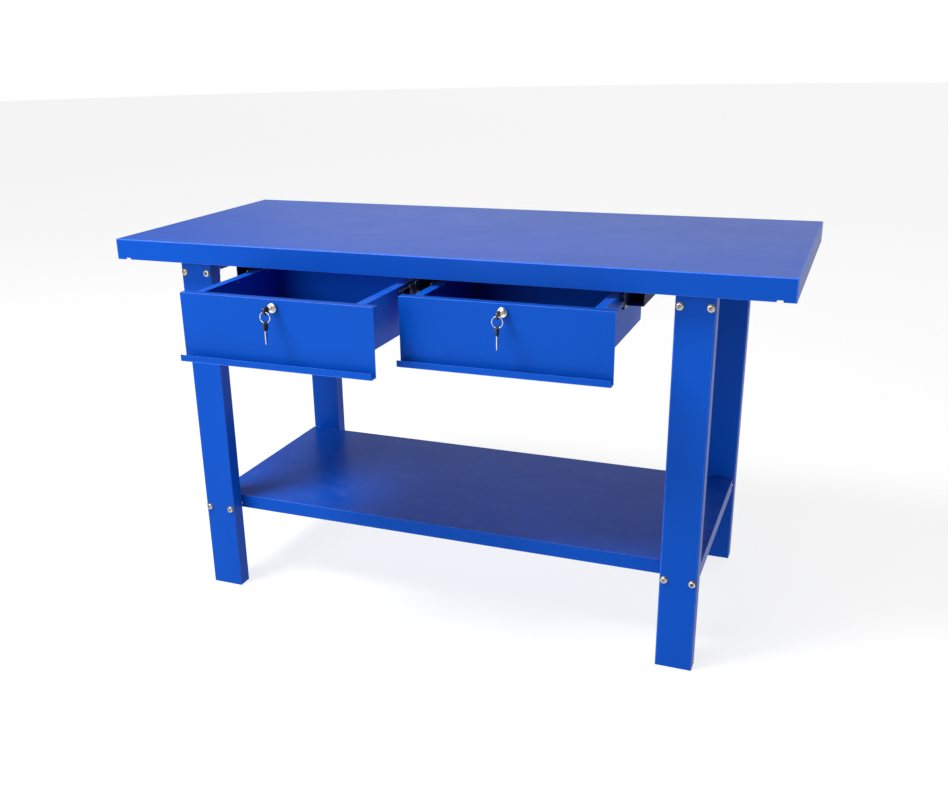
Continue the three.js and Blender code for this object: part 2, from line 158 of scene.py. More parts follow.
class Finish(Nodes):
    """A material with a Principled shader, and the patterns that it is painted with."""

    def __init__(self, name):
        self.material = bpy.data.materials.new(name)
        self.material.use_nodes = True
        super().__init__(self.material.node_tree)
        kinds = {node.bl_idname: node for node in self.tree.nodes}
        self.shader = kinds["ShaderNodeBsdfPrincipled"]
        self.place = self.add("ShaderNodeTexCoord", output="Object")

    def set(self, **values):
        for key, value in values.items():
            self.feed(self.shader.inputs[key.replace("_", " ")], value)

    def stretched(self, scale, turn=(0.0, 0.0, 0.0)):
        inputs = {"Vector": self.place, "Scale": scale, "Rotation": turn}
        return self.add("ShaderNodeMapping", None, inputs)

    def noise(self, scale, detail=2.0, roughness=0.5, place=None):
        inputs = {
            "Vector": place or self.place,
            "Scale": scale,
            "Detail": detail,
            "Roughness": roughness,
        }
        return self.add("ShaderNodeTexNoise", None, inputs)

    def blend(self, factor, first, second):
        inputs = {0: factor, 6: first, 7: second}
        return self.add("ShaderNodeMix", {"data_type": "RGBA"}, inputs, 2)

    def relief(self, height, strength, distance, under=None):
        inputs = {"Height": height, "Strength": strength, "Distance": distance}
        if under is not None:
            inputs["Normal"] = under
        return self.add("ShaderNodeBump", None, inputs)

    def facing_up(self):
        """1 on surfaces that face up, 0 on upright ones."""
        normal = self.add("ShaderNodeNewGeometry", output="Normal")
        height = self.add("ShaderNodeSeparateXYZ", None, {"Vector": normal}, "Z")
        return height.between(0.6, 0.9)


def tinted(colour, factor, pale=0.0):
    """A colour made stronger by a factor, and paler by the same amount in each channel."""
    return (*(min(1.0, channel * factor + pale) for channel in colour[:3]), 1.0)


# ------------------------------------------------------------------ finishes


def powder_coat(name, colour, roughness, folds):
    """Satin powder coat: orange peel, cloudy colour, handling marks, and folds painted paler as
    a painted highlight, with worn spots along them.
    """
    coat = Finish(name)
    clouds = coat.noise(3.1, 4.0, 0.55)
    flecks = coat.noise(900.0, 1.0)
    base = coat.blend(clouds.between(0.3, 0.7), tinted(colour, 0.96), tinted(colour, 1.04))
    base = coat.blend(flecks.between(0.62, 0.75) * 0.18, base, tinted(colour, 1.45))
    dust = coat.noise(22.0, 8.0, 0.65).between(0.45, 0.75)
    upward = coat.facing_up()
    film = dust * upward * 0.05
    base = coat.blend(film, base, (0.42, 0.44, 0.50, 1.0))
    along = coat.noise(1.0, 5.0, 0.7, coat.stretched((6.0, 420.0, 160.0), (0.0, 0.0, 0.12)))
    across = coat.noise(1.0, 5.0, 0.7, coat.stretched((360.0, 7.0, 160.0), (0.0, 0.0, -0.3)))
    patches = coat.noise(5.0, 3.0).between(0.48, 0.62)
    scuffs = (along.between(0.66, 0.74) + across.between(0.68, 0.76)) * patches
    base = coat.blend(scuffs * 0.16, base, tinted(colour, 2.2))
    fold = coat.add("ShaderNodeAttribute", {"attribute_name": FOLD_MARK}, None, "Fac")
    worn_and_highlit = fold * coat.noise(60.0, 6.0, 0.6).between(0.42, 0.66)
    # the folds are painted paler as a painted highlight; the spots along them are paler still,
    # partly worn paint and partly painted highlight
    base = coat.blend(fold * folds, base, tinted(colour, 1.9, 0.05))
    base = coat.blend(worn_and_highlit * (0.4 * folds), base, tinted(colour, 2.2, 0.10))
    smears = coat.noise(9.0, 6.0, 0.6)
    rough = roughness - 0.05 + smears * 0.10 + film * 0.8 + scuffs * 0.10
    peel = coat.noise(420.0, 2.0, 0.4)
    bump = coat.relief(peel, 0.16, 0.0004)
    bump = coat.relief(coat.noise(11.0, 1.0), 0.05, 0.002, bump)
    bump = coat.relief(scuffs, 0.06, 0.0002, bump)
    coat.set(Base_Color=base, Roughness=rough, Normal=bump)
    coat.set(Metallic=0.0, IOR=1.16)
    return coat.material


def zinc_plate(name, colour, roughness):
    """Bright zinc plating: fine spangle, faint straw and blue tints and drawn lines."""
    zinc = Finish(name)
    inputs = {"Vector": zinc.place, "Scale": 380.0}
    spangle = zinc.add("ShaderNodeTexVoronoi", None, inputs, "Color")
    grain = zinc.add("ShaderNodeSeparateColor", None, {"Color": spangle}, "Red")
    tint = zinc.noise(55.0, 3.0).between(0.35, 0.7)
    base = zinc.blend(tint * 0.6, tinted(colour, 1.0), (0.50, 0.45, 0.34, 1.0))
    base = zinc.blend(grain * 0.30, base, tinted(colour, 0.72))
    drawn = zinc.noise(1.0, 3.0, 0.6, zinc.stretched((900.0, 14.0, 900.0)))
    stains = zinc.noise(140.0, 6.0, 0.7).between(0.58, 0.75)
    base = zinc.blend(stains * 0.35, base, (0.20, 0.19, 0.18, 1.0))
    rough = roughness - 0.06 + grain * 0.10 + drawn * 0.10 + stains * 0.18
    bump = zinc.relief(drawn, 0.08, 0.0002)
    zinc.set(Base_Color=base, Roughness=rough, Normal=bump)
    zinc.set(Metallic=1.0)
    return zinc.material


def chrome_plate(name, colour, roughness):
    """Polished chrome with fine turning lines, fingerprints and a little grime."""
    chrome = Finish(name)
    hairs = chrome.noise(1.0, 4.0, 0.7, chrome.stretched((1500.0, 60.0, 1500.0)))
    prints = chrome.noise(130.0, 5.0, 0.6).between(0.45, 0.7)
    grime = chrome.noise(480.0, 6.0, 0.7).between(0.62, 0.76)
    base = chrome.blend(prints * 0.25, tinted(colour, 1.0), tinted(colour, 0.82))
    base = chrome.blend(grime * 0.4, base, (0.16, 0.13, 0.10, 1.0))
    rough = roughness + hairs * 0.06 + prints * 0.10 + grime * 0.2
    bump = chrome.relief(hairs, 0.05, 0.0001)
    chrome.set(Base_Color=base, Roughness=rough, Normal=bump)
    chrome.set(Metallic=1.0)
    return chrome.material


def moulded_plastic(name, colour, roughness):
    """Black moulded plastic with a spark-eroded grain and shiny handled spots."""
    plastic = Finish(name)
    grain = plastic.noise(2600.0, 2.0, 0.6)
    handled = plastic.noise(160.0, 4.0).between(0.4, 0.65)
    base = plastic.blend(handled, tinted(colour, 1.0), tinted(colour, 2.0))
    rough = roughness - 0.12 * handled + grain * 0.08
    bump = plastic.relief(grain, 0.35, 0.0001)
    plastic.set(Base_Color=base, Roughness=rough, Normal=bump)
    return plastic.material


def studio_floor(name, colour):
    """A pale floor, a little uneven in tone, that glows enough to stay near white."""
    floor = Finish(name)
    tone = floor.noise(0.8, 2.0)
    base = floor.blend(tone, tinted(colour, 0.99), tinted(colour, 1.0))
    floor.set(Base_Color=base, Roughness=0.9)
    floor.set(Metallic=0.0, Emission_Color=(1.0, 1.0, 1.0, 1.0), Emission_Strength=0.80)
    return floor.material


def finish(kind):
    """The material of that kind, made the first time that it is asked for."""
    coats = bpy.context.scene.bench_finish
    rough = coats.paint_roughness
    if kind not in bpy.data.materials:
        makers = {
            # the last number of each powder coat is how strongly its folds are painted paler, as
            # a painted highlight
            "bench_powder_coat": (powder_coat, coats.paint, rough, 0.8),
            "tube_powder_coat": (powder_coat, coats.paint, rough, 0.25),
            "drawer_powder_coat": (powder_coat, coats.drawer_paint, rough, 0.6),
            # the hangers get a far deeper blue than the bench paint: painted shade under the
            # worktop
            "hanger_powder_coat": (powder_coat, coats.hanger_paint_with_painted_shade, rough + 0.08, 0.1),
            "fastener_zinc": (zinc_plate, coats.zinc, 0.26),
            # a zinc a seventh as bright, for the painted shade in the bolt recesses and round
            # the washers
            "fastener_recess": (zinc_plate, tuple(coats.zinc * 0.14), 0.5),
            # the slide zinc is far duller than the bolt zinc: painted shade on the slides under
            # the worktop
            "slide_zinc": (zinc_plate, coats.slide_zinc, 0.36),
            "lock_chrome": (chrome_plate, coats.chrome, 0.10),
            "key_blade_nickel": (chrome_plate, coats.nickel, 0.20),
            "key_bow_plastic": (moulded_plastic, coats.key_plastic, 0.46),
        }
        maker, *values = makers[kind]
        maker(kind, *values)
    return bpy.data.materials[kind]


# ------------------------------------------------------------------ mesh helpers


def body_of_node(node):
    for body, nodes in frame["record"]["behaviour"]["bodies"].items():
        if node in nodes:
            return body
    raise RuntimeError(f"{node} is in no body")


def slot_of_node(node):
    for part in frame["record"]["subparts"]:
        if part["node"] == node:
            return part["material_slot"]
    raise RuntimeError(f"{node} has no material slot")


def new_piece(name, mesh, materials, body, slot, nodes=()):
    """Puts a finished mesh in the scene, on its body, in place of its CAD nodes."""
    if not mesh.polygons:
        raise RuntimeError(f"{name} has no faces")
    rows = [face.material_index for face in mesh.polygons]  # clear() below resets them
    piece = bpy.data.objects.new(name, mesh)
    bpy.context.collection.objects.link(piece)
    mesh.materials.clear()
    for material in materials:
        mesh.materials.append(material)
    if len(materials) > 1:
        mesh.polygons.foreach_set("material_index", rows)
    if nodes:
        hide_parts(*nodes)
    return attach(piece, body)


def merged_copy(node):
    """A CAD node's shape as a clean mesh, its flat faces whole."""
    shape = bmesh.new()
    shape.from_mesh(frame["nodes"][node].data)
    bmesh.ops.remove_doubles(shape, verts=shape.verts, dist=2e-6)
    bmesh.ops.dissolve_limit(
        shape, angle_limit=math.radians(1.0), verts=shape.verts, edges=shape.edges
    )
    return shape


def breadth(face):
    """How wide a face is across its narrow way."""
    return 2.0 * face.calc_area() / face.calc_perimeter()


def soften(shape, fold, cut, shortest, thin):
    """Weights the edges to be rounded: folds between two wide faces more than cut edges."""
    weight = shape.edges.layers.float.new("bevel_weight_edge")
    for edge in shape.edges:
        if len(edge.link_faces) != 2 or edge.calc_face_angle(0.0) < math.radians(30.0):
            continue
        if edge.calc_length() < shortest:
            edge.smooth = False
            continue
        folded = edge.is_convex and all(breadth(face) > thin for face in edge.link_faces)
        edge[weight] = 1.0 if folded else cut / fold


def rounded(name, shape, fold):
    """The weighted shape with its edges rounded and marked, as a plain mesh."""
    mesh = bpy.data.meshes.new(name)
    shape.to_mesh(mesh)
    shape.free()
    for face in mesh.polygons:
        face.use_smooth = True
    # two empty slots, so that the bevel can put its own faces in the second one
    mesh.materials.append(None)
    mesh.materials.append(None)
    holder = bpy.data.objects.new(name + "_holder", mesh)
    bpy.context.collection.objects.link(holder)
    bevel = holder.modifiers.new("round", "BEVEL")
    bevel.limit_method = "WEIGHT"
    bevel.width = fold
    bevel.segments = 3
    bevel.use_clamp_overlap = True
    bevel.material = 1
    bevel.miter_outer = "MITER_ARC"
    flat = holder.modifiers.new("flat", "WEIGHTED_NORMAL")
    flat.mode = "FACE_AREA"
    flat.weight = 100
    flat.keep_sharp = True
    mesh = plain_mesh(holder, name)
    marks = mesh.attributes.new(FOLD_MARK, "FLOAT", "FACE")
    marks.data.foreach_set("value", [float(face.material_index) for face in mesh.polygons])
    return mesh


def plain_mesh(holder, name):
    """What a holder shows with its modifiers, as a mesh of its own. The holder goes."""
    bpy.context.view_layer.update()
    graph = bpy.context.evaluated_depsgraph_get()
    mesh = bpy.data.meshes.new_from_object(holder.evaluated_get(graph), depsgraph=graph)
    mesh.name = name
    holder.modifiers.clear()
    bpy.data.objects.remove(holder)
    return mesh


def sheet_piece(node, material, fold=None, cut=None, thin=0.0035, shortest=0.006):
    """A sheet-metal node again, with its folds and cut edges rounded.

    A face narrower than thin is the sheet's cut edge. Edges below shortest stay sharp.
    """
    edges = bpy.context.scene.bench_edges
    fold = fold or edges.fold_radius
    cut = cut or edges.cut_radius
    shape = merged_copy(node)
    soften(shape, fold, cut, shortest, thin)
    mesh = rounded(node + "_finished", shape, fold)
    place = (body_of_node(node), slot_of_node(node), (node,))
    return new_piece(node + "_finished", mesh, [finish(material)], *place)


def nodes_named(*endings):
    return [node for node in sorted(frame["nodes"]) if node.endswith(endings)]


def ring_of(shape, radius_at, y, steps):
    """A ring of vertices round the Y axis. radius_at gives the radius at each angle."""
    ring = []
    for step in range(steps):
        angle = 2 * math.pi * step / steps
        radius = radius_at(angle)
        place = (radius * math.cos(angle), y, radius * math.sin(angle))
        ring.append(shape.verts.new(place))
    return ring


def skin(shape, rings):
    """Faces between rings that follow one another, and a cap at each end."""
    for first, second in zip(rings, rings[1:]):
        for index in range(len(first)):
            after = (index + 1) % len(first)
            shape.faces.new((first[index], first[after], second[after], second[index]))
    shape.faces.new(reversed(rings[0]))
    shape.faces.new(rings[-1])


def shaded(name, shape, sharp=35.0):
    """The shape as a mesh, smooth apart from its sharp edges."""
    bmesh.ops.recalc_face_normals(shape, faces=shape.faces)
    for face in shape.faces:
        face.smooth = True
    for edge in shape.edges:
        edge.smooth = edge.calc_face_angle(0.0) < math.radians(sharp)
    mesh = bpy.data.meshes.new(name)
    shape.to_mesh(mesh)
    shape.free()
    return mesh


# ------------------------------------------------------------------ repeated pieces


def tree_with(name, inputs):
    """A new geometry tree with its named inputs, and a way to feed each one."""
    tree = bpy.data.node_groups.new(name, "GeometryNodeTree")
    tree.interface.new_socket("Geometry", in_out="INPUT", socket_type="NodeSocketGeometry")
    for label, kind in inputs.items():
        tree.interface.new_socket(label, in_out="INPUT", socket_type=kind)
    tree.interface.new_socket("Geometry", in_out="OUTPUT", socket_type="NodeSocketGeometry")
    nodes = Nodes(tree)
    entry = tree.nodes.new("NodeGroupInput")
    wires = {socket.name: Wire(nodes, socket) for socket in entry.outputs if socket.name}
    return nodes, wires


def end_tree(nodes, wires, instance, size):
    """Ends a tree with the instance at each point, turned as the point says, and painted."""
    settings = {"data_type": "FLOAT_VECTOR"}
    turn = nodes.add("GeometryNodeInputNamedAttribute", settings, {"Name": "turn"})
    scale = nodes.add("ShaderNodeCombineXYZ", None, size)
    inputs = {
        "Points": wires["Geometry"],
        "Instance": instance,
        "Rotation": turn,
        "Scale": scale,
    }
    copies = nodes.add("GeometryNodeInstanceOnPoints", None, inputs)
    solid = nodes.add("GeometryNodeRealizeInstances", None, {"Geometry": copies})
    inputs = {"Geometry": solid, "Material": wires["Material"]}
    painted = nodes.add("GeometryNodeSetMaterial", None, inputs)
    nodes.add("NodeGroupOutput", None, {"Geometry": painted})


def part_tree():
    """Copies of one part, one at each point, turned as the point says."""
    labels = {
        "Part": "NodeSocketObject",
        "Size": "NodeSocketFloat",
        "Material": "NodeSocketMaterial",
    }
    nodes, wires = tree_with("copies_of_a_part", labels)
    part = nodes.add("GeometryNodeObjectInfo", None, {"Object": wires["Part"]}, "Geometry")
    end_tree(nodes, wires, part, {axis: wires["Size"] for axis in "XYZ"})
    return nodes.tree


def bead_tree():
    """Round beads or flat domes at points: balls, rivet heads and the like."""
    if "beads" in bpy.data.node_groups:
        return bpy.data.node_groups["beads"]
    labels = {
        "Radius": "NodeSocketFloat",
        "Height": "NodeSocketFloat",
        "Material": "NodeSocketMaterial",
    }
    nodes, wires = tree_with("beads", labels)
    sizes = {"Segments": 16, "Rings": 9, "Radius": 1.0}
    ball = nodes.add("GeometryNodeMeshUVSphere", None, sizes)
    ball = nodes.add("GeometryNodeSetShadeSmooth", None, {"Geometry": ball})
    size = {"X": wires["Radius"], "Y": wires["Radius"], "Z": wires["Height"]}
    end_tree(nodes, wires, ball, size)
    return nodes.tree


def repeated(name, places, tree, values, material):
    """Runs a tree on points. places are pairs of a point and its turn as three angles."""
    mesh = bpy.data.meshes.new(name)
    mesh.from_pydata([tuple(point) for point, _ in places], [], [])
    turns = mesh.attributes.new("turn", "FLOAT_VECTOR", "POINT")
    turns.data.foreach_set("vector", [angle for _, turn in places for angle in turn])
    holder = bpy.data.objects.new(name + "_points", mesh)
    bpy.context.collection.objects.link(holder)
    modifier = holder.modifiers.new("repeat", "NODES")
    modifier.node_group = tree
    inputs = [item for item in tree.interface.items_tree if item.in_out == "INPUT"]
    identifiers = {item.name: item.identifier for item in inputs}
    for label, value in values.items():
        modifier[identifiers[label]] = value
    modifier[identifiers["Material"]] = material
    return plain_mesh(holder, name)


# ------------------------------------------------------------------ settings


class BenchFinish(bpy.types.PropertyGroup):
    paint: bpy.props.FloatVectorProperty(
        name="Paint",
        description="Powder coat of the worktop, legs, shelf and drawer fronts",
        subtype="COLOR",
        size=3,
        default=(0.001, 0.060, 0.39),
    )
    drawer_paint: bpy.props.FloatVectorProperty(
        name="Drawer box paint",
        description="Powder coat of the drawer boxes",
        subtype="COLOR",
        size=3,
        default=(0.003, 0.090, 0.56),
    )
    # far deeper than the bench paint: painted shade on the channels under the worktop
    hanger_paint_with_painted_shade: bpy.props.FloatVectorProperty(
        name="Hanger paint",
        description="Powder coat of the channels that carry the slides",
        subtype="COLOR",
        size=3,
        default=(0.003, 0.012, 0.09),
    )
    paint_roughness: bpy.props.FloatProperty(
        name="Paint roughness",
        description="Roughness of the powder coat",
        subtype="FACTOR",
        min=0.05,
        max=1.0,
        default=0.34,
    )
    zinc: bpy.props.FloatVectorProperty(
        name="Bolt zinc",
        description="Zinc plating of the bolts, nuts and cams",
        subtype="COLOR",
        size=3,
        default=(0.74, 0.75, 0.77),
    )
    # far duller than the bolt zinc, as painted shade on the slides
    slide_zinc: bpy.props.FloatVectorProperty(
        name="Slide zinc",
        description="Zinc plating of the drawer slides",
        subtype="COLOR",
        size=3,
        default=(0.20, 0.21, 0.23),
    )
    chrome: bpy.props.FloatVectorProperty(
        name="Chrome",
        description="Plating of the locks and the key rings",
        subtype="COLOR",
        size=3,
        default=(0.80, 0.76, 0.70),
    )
    nickel: bpy.props.FloatVectorProperty(
        name="Key nickel",
        description="Plating of the key blades",
        subtype="COLOR",
        size=3,
        default=(0.72, 0.69, 0.63),
    )
    key_plastic: bpy.props.FloatVectorProperty(
        name="Key bow plastic",
        description="Moulded heads of the keys",
        subtype="COLOR",
        size=3,
        default=(0.010, 0.010, 0.012),
    )


class BenchEdges(bpy.types.PropertyGroup):
    fold_radius: bpy.props.FloatProperty(
        name="Fold radius",
        description="Outside radius of a fold in the sheet",
        unit="LENGTH",
        default=0.0022,
    )
    cut_radius: bpy.props.FloatProperty(
        name="Cut edge radius",
        description="Rounding of a deburred and coated sheet edge",
        unit="LENGTH",
        default=0.0004,
    )
    tube_radius: bpy.props.FloatProperty(
        name="Tube corner radius",
        description="Outside corner radius of the leg tubes",
        unit="LENGTH",
        default=0.0032,
    )


class BenchFasteners(bpy.types.PropertyGroup):
    washer_radius: bpy.props.FloatProperty(
        name="Washer radius",
        description="Radius of the collar under a bolt head",
        unit="LENGTH",
        default=0.0086,
    )
    ball_radius: bpy.props.FloatProperty(
        name="Ball radius",
        description="Radius of the balls between two slide members",
        unit="LENGTH",
        default=0.00078,
    )
    ball_pitch: bpy.props.FloatProperty(
        name="Ball pitch",
        description="Distance between two balls of a row",
        unit="LENGTH",
        default=0.008,
    )
    rivet_radius: bpy.props.FloatProperty(
        name="Rivet radius",
        description="Radius of the rivet heads that fix the slides",
        unit="LENGTH",
        default=0.0034,
    )


class BenchStage(bpy.types.PropertyGroup):
    camera_place: bpy.props.FloatVectorProperty(
        name="Camera place",
        description="Where the camera stands",
        subtype="TRANSLATION",
        unit="LENGTH",
        size=3,
        default=(0.86969, -2.17072, 1.28248),
    )
    camera_turn: bpy.props.FloatVectorProperty(
        name="Camera turn",
        description="How the camera is turned",
        subtype="EULER",
        unit="ROTATION",
        size=3,
        default=(1.212925, 0.019836, 0.383614),
    )
    lens: bpy.props.FloatProperty(
        name="Lens",
        description="Focal length on a sensor 36 mm wide",
        unit="CAMERA",
        default=40.072,
    )
    key_power: bpy.props.FloatProperty(
        name="Key light",
        description="Power of the soft light over the front left",
        unit="POWER",
        default=240.0,
    )
    front_power: bpy.props.FloatProperty(
        name="Front light",
        description="Power of the soft light before the drawers",
        unit="POWER",
        default=112.0,
    )
    fill_power: bpy.props.FloatProperty(
        name="Fill light",
        description="Power of the light from the front right",
        unit="POWER",
        default=3.0,
    )
    sky_front: bpy.props.FloatProperty(
        name="Sky in front",
        description="Strength of the even white light on the user's side",
        min=0.0,
        default=0.30,
    )
    sky_back: bpy.props.FloatProperty(
        name="Sky behind",
        description="Strength of the even white light behind the bench",
        min=0.0,
        default=1.0,
    )


# ------------------------------------------------------------------ pieces


class BENCH_OT_worktop(bpy.types.Operator):
    """Folded worktop with rounded bends"""

    bl_idname = "bench.worktop"
    bl_label = "Worktop"

    def execute(self, context):
        sheet_piece("worktop", "bench_powder_coat")
        return {"FINISHED"}


class BENCH_OT_legs(bpy.types.Operator):
    """Four legs of rectangular tube"""

    bl_idname = "bench.legs"
    bl_label = "Legs"

    def execute(self, context):
        radius = context.scene.bench_edges.tube_radius
        for node in nodes_named("_left", "_right"):
            if node.startswith("leg_"):
                sheet_piece(node, "tube_powder_coat", fold=radius)
        return {"FINISHED"}


class BENCH_OT_rails(bpy.types.Operator):
    """End rails between a front leg and a rear leg"""

    bl_idname = "bench.rails"
    bl_label = "End rails"

    def execute(self, context):
        for node in nodes_named("_end_rail_left", "_end_rail_right"):
            sheet_piece(node, "bench_powder_coat")
        return {"FINISHED"}


class BENCH_OT_shelf(bpy.types.Operator):
    """Folded lower shelf"""

    bl_idname = "bench.shelf"
    bl_label = "Lower shelf"

    def execute(self, context):
        sheet_piece("lower_shelf", "bench_powder_coat")
        return {"FINISHED"}


def hex_radius(across):
    """The radius of a hexagon at each angle, from its width across flats."""

    def radius(angle):
        step = math.pi / 3
        return across / 2 / math.cos((angle + step / 2) % step - step / 2)

    return radius


def bolt_mesh(low, high, washer):
    """A bolt along Y with its head at -Y, about its own middle line, with its washer and nut.

    The second value holds the numbers of the faces in the recess and on the washer, which are
    given painted shade.
    """
    length = high.y - low.y
    across = high.x - low.x
    outline = hex_radius(across)
    crown = across / 2 * 0.94  # where the chamfer of a hexagon starts
    recess = crown * 0.72
    head, nut, thread_end = 0.0053, 0.004, 0.0011
    pitch, root, crest = 0.00125, 0.0036, 0.0040
    steps, thread_steps = 48, 24
    shape = bmesh.new()

    def circle(radius):
        return lambda angle: radius

    def chamfered(y, way):
        """Where the hexagon meets the crown's cone."""
        ring = ring_of(shape, outline, y, steps)
        for vertex in ring:
            reach = math.hypot(vertex.co.x, vertex.co.z)
            vertex.co.y -= way * max(0.0, reach - crown) * 0.55
        return ring

    skin(shape, [
        ring_of(shape, circle(washer - 0.0004), head - 0.00005, steps),
        ring_of(shape, circle(washer), head - 0.0004, steps),
        ring_of(shape, circle(washer), head - 0.0009, steps),
        ring_of(shape, circle(washer - 0.0005), head - 0.0013, steps),
        ring_of(shape, outline, head - 0.0014, steps),
        chamfered(0.0005, -1),
        ring_of(shape, circle(crown), 0.0002, steps),
        ring_of(shape, circle(crown - 0.0004), 0.0, steps),
        ring_of(shape, circle(recess), 0.0, steps),
        ring_of(shape, circle(crown * 0.64), 0.0012, steps),
        ring_of(shape, circle(crown * 0.2), 0.0017, steps),
    ])
    nut_low, nut_high = length - thread_end - nut, length - thread_end
    skin(shape, [
        ring_of(shape, circle(crown * 0.9), nut_low, steps),
        ring_of(shape, circle(crown), nut_low, steps),
        chamfered(nut_low + 0.0003, -1),
        chamfered(nut_high - 0.0003, 1),
        ring_of(shape, circle(crown), nut_high, steps),
        ring_of(shape, circle(0.0046), nut_high, steps),
        ring_of(shape, circle(0.0042), nut_high - 0.0004, steps),
    ])
    thread = [ring_of(shape, circle(0.0037), head - 0.001, thread_steps)]
    for turn in range(int((length - head) / pitch)):
        y = head + turn * pitch
        thread.append(ring_of(shape, circle(root), y, thread_steps))
        thread.append(ring_of(shape, circle(crest), y + pitch / 2, thread_steps))
    thread.append(ring_of(shape, circle(0.0032), length, thread_steps))
    skin(shape, thread)
    mesh = shaded("leg_bolt", shape)
    # faces of the head's recess and washer rim that get the deep-toned zinc as painted shade
    painted_shade_faces = set()
    for face in mesh.polygons:
        depth = face.center.y
        reach = math.hypot(face.center.x, face.center.z)
        in_recess = 0.0001 < depth < 0.0018 and reach < crown * 0.71
        on_washer = head - 0.0015 < depth < head and reach > across / 2
        if in_recess or on_washer:
            painted_shade_faces.add(face.index)
    return mesh, painted_shade_faces


class BENCH_OT_leg_bolts(bpy.types.Operator):
    """Zinc-plated bolts, washers and nuts that hold the legs to the rails"""

    bl_idname = "bench.leg_bolts"
    bl_label = "Leg bolts"

    def execute(self, context):
        bolts = [node for node in frame["nodes"] if node.startswith("bolt_")]
        low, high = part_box(min(bolts))
        mesh, painted_shade_faces = bolt_mesh(low, high, context.scene.bench_fasteners.washer_radius)
        faces = len(mesh.polygons)
        part = bpy.data.objects.new("leg_bolt_part", mesh)
        bpy.context.collection.objects.link(part)
        places = []
        for index, node in enumerate(sorted(bolts)):
            low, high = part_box(node)
            middle = (low + high) / 2
            roll = (index * 0.61) % (math.pi / 3)  # no two heads stand alike
            if "_front_" in node:
                places.append(((middle.x, low.y, middle.z), (0.0, roll, 0.0)))
            else:
                places.append(((middle.x, high.y, middle.z), (0.0, roll, math.pi)))
        values = {"Part": part, "Size": 1.0}
        zinc = finish("fastener_zinc")
        made = repeated("leg_bolts_finished", places, part_tree(), values, zinc)
        for face in made.polygons:
            face.material_index = int(face.index % faces in painted_shade_faces)
        bpy.data.objects.remove(part)
        # the second zinc is the painted shade in the recess and round the washer
        zincs = [zinc, finish("fastener_recess")]
        new_piece("leg_bolts_finished", made, zincs, body_of_node(bolts[0]), "zinc", bolts)
        return {"FINISHED"}


class BENCH_OT_hangers(bpy.types.Operator):
    """Channels under the worktop that carry the slides"""

    bl_idname = "bench.hangers"
    bl_label = "Hangers"

    def execute(self, context):
        for node in ("hanger_left", "hanger_middle", "hanger_right"):
            # their coat is much deeper than the bench paint, as painted shade
            sheet_piece(node, "hanger_powder_coat")
        return {"FINISHED"}


class BENCH_OT_slides(bpy.types.Operator):
    """Telescopic slides with their rows of balls"""

    bl_idname = "bench.slides"
    bl_label = "Slides"

    def execute(self, context):
        fasteners = context.scene.bench_fasteners
        for node in nodes_named("_member"):
            sheet_piece(node, "slide_zinc", fold=0.0009, cut=0.0003, thin=0.0025)
        for side in SIDES:
            places = []
            for slide in ("outer", "inner"):
                places += self.rows(f"{side}_{slide}_slide", fasteners)
            radius = fasteners.ball_radius
            values = {"Radius": radius, "Height": radius}
            name = f"{side}_slide_balls"
            zinc = finish("slide_zinc")
            made = repeated(name, places, bead_tree(), values, zinc)
            body = body_of_node(f"{side}_outer_slide_middle_member")
            new_piece(name, made, [zinc], body, "zinc")
        return {"FINISHED"}

    @staticmethod
    def rows(stem, fasteners):
        """Two rows inside the middle member and two outside it, a third as long as it is."""
        low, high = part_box(f"{stem}_middle_member")
        x = (low.x + high.x) / 2
        reach = (high.y - low.y) / 6
        gap = 0.0008  # from a member's face to the middle of a ball
        wall = THIN_SHEET
        middle = (low.y + high.y) / 2
        count = int(reach / fasteners.ball_pitch)
        places = []
        for z in (low.z - gap, low.z + wall + gap, high.z - wall - gap, high.z + gap):
            for step in range(-count, count + 1):
                point = (x, middle + step * fasteners.ball_pitch, z)
                places.append((point, (0.0, 0.0, 0.0)))
        return places


class BENCH_OT_drawer_fronts(bpy.types.Operator):
    """Drawer fronts with their top flange and pull lip"""

    bl_idname = "bench.drawer_fronts"
    bl_label = "Drawer fronts"

    def execute(self, context):
        for node in nodes_named("_drawer_front"):
            sheet_piece(node, "bench_powder_coat")
        return {"FINISHED"}


class BENCH_OT_drawer_boxes(bpy.types.Operator):
    """Drawer boxes and the rivets that fix the slides to them"""

    bl_idname = "bench.drawer_boxes"
    bl_label = "Drawer boxes"

    def execute(self, context):
        radius = context.scene.bench_fasteners.rivet_radius
        for side in SIDES:
            node = f"{side}_drawer_box"
            sheet_piece(node, "drawer_powder_coat", fold=0.0018)
            low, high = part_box(node)
            rail_low, rail_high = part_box(f"{side}_outer_slide_drawer_member")
            z = (rail_low.z + rail_high.z) / 2
            places = []
            for share in RIVET_SHARES:
                y = low.y + share * (high.y - low.y)
                places.append(((low.x + THIN_SHEET, y, z), (0.0, math.pi / 2, 0.0)))
                places.append(((high.x - THIN_SHEET, y, z), (0.0, -math.pi / 2, 0.0)))
            values = {"Radius": radius, "Height": radius * 0.42}
            name = f"{side}_drawer_rivets"
            zinc = finish("fastener_zinc")
            made = repeated(name, places, bead_tree(), values, zinc)
            new_piece(name, made, [zinc], body_of_node(node), "zinc")
        return {"FINISHED"}


class BENCH_OT_locks(bpy.types.Operator):
    """Cam locks: bezel and barrel, fixing nut, plug and cam"""

    bl_idname = "bench.locks"
    bl_label = "Locks"

    def execute(self, context):
        for side in SIDES:
            for part, (material, edge) in LOCK_PARTS.items():
                sheet_piece(f"{side}_{part}", material, edge, edge, thin=0.0, shortest=0.0002)
        return {"FINISHED"}


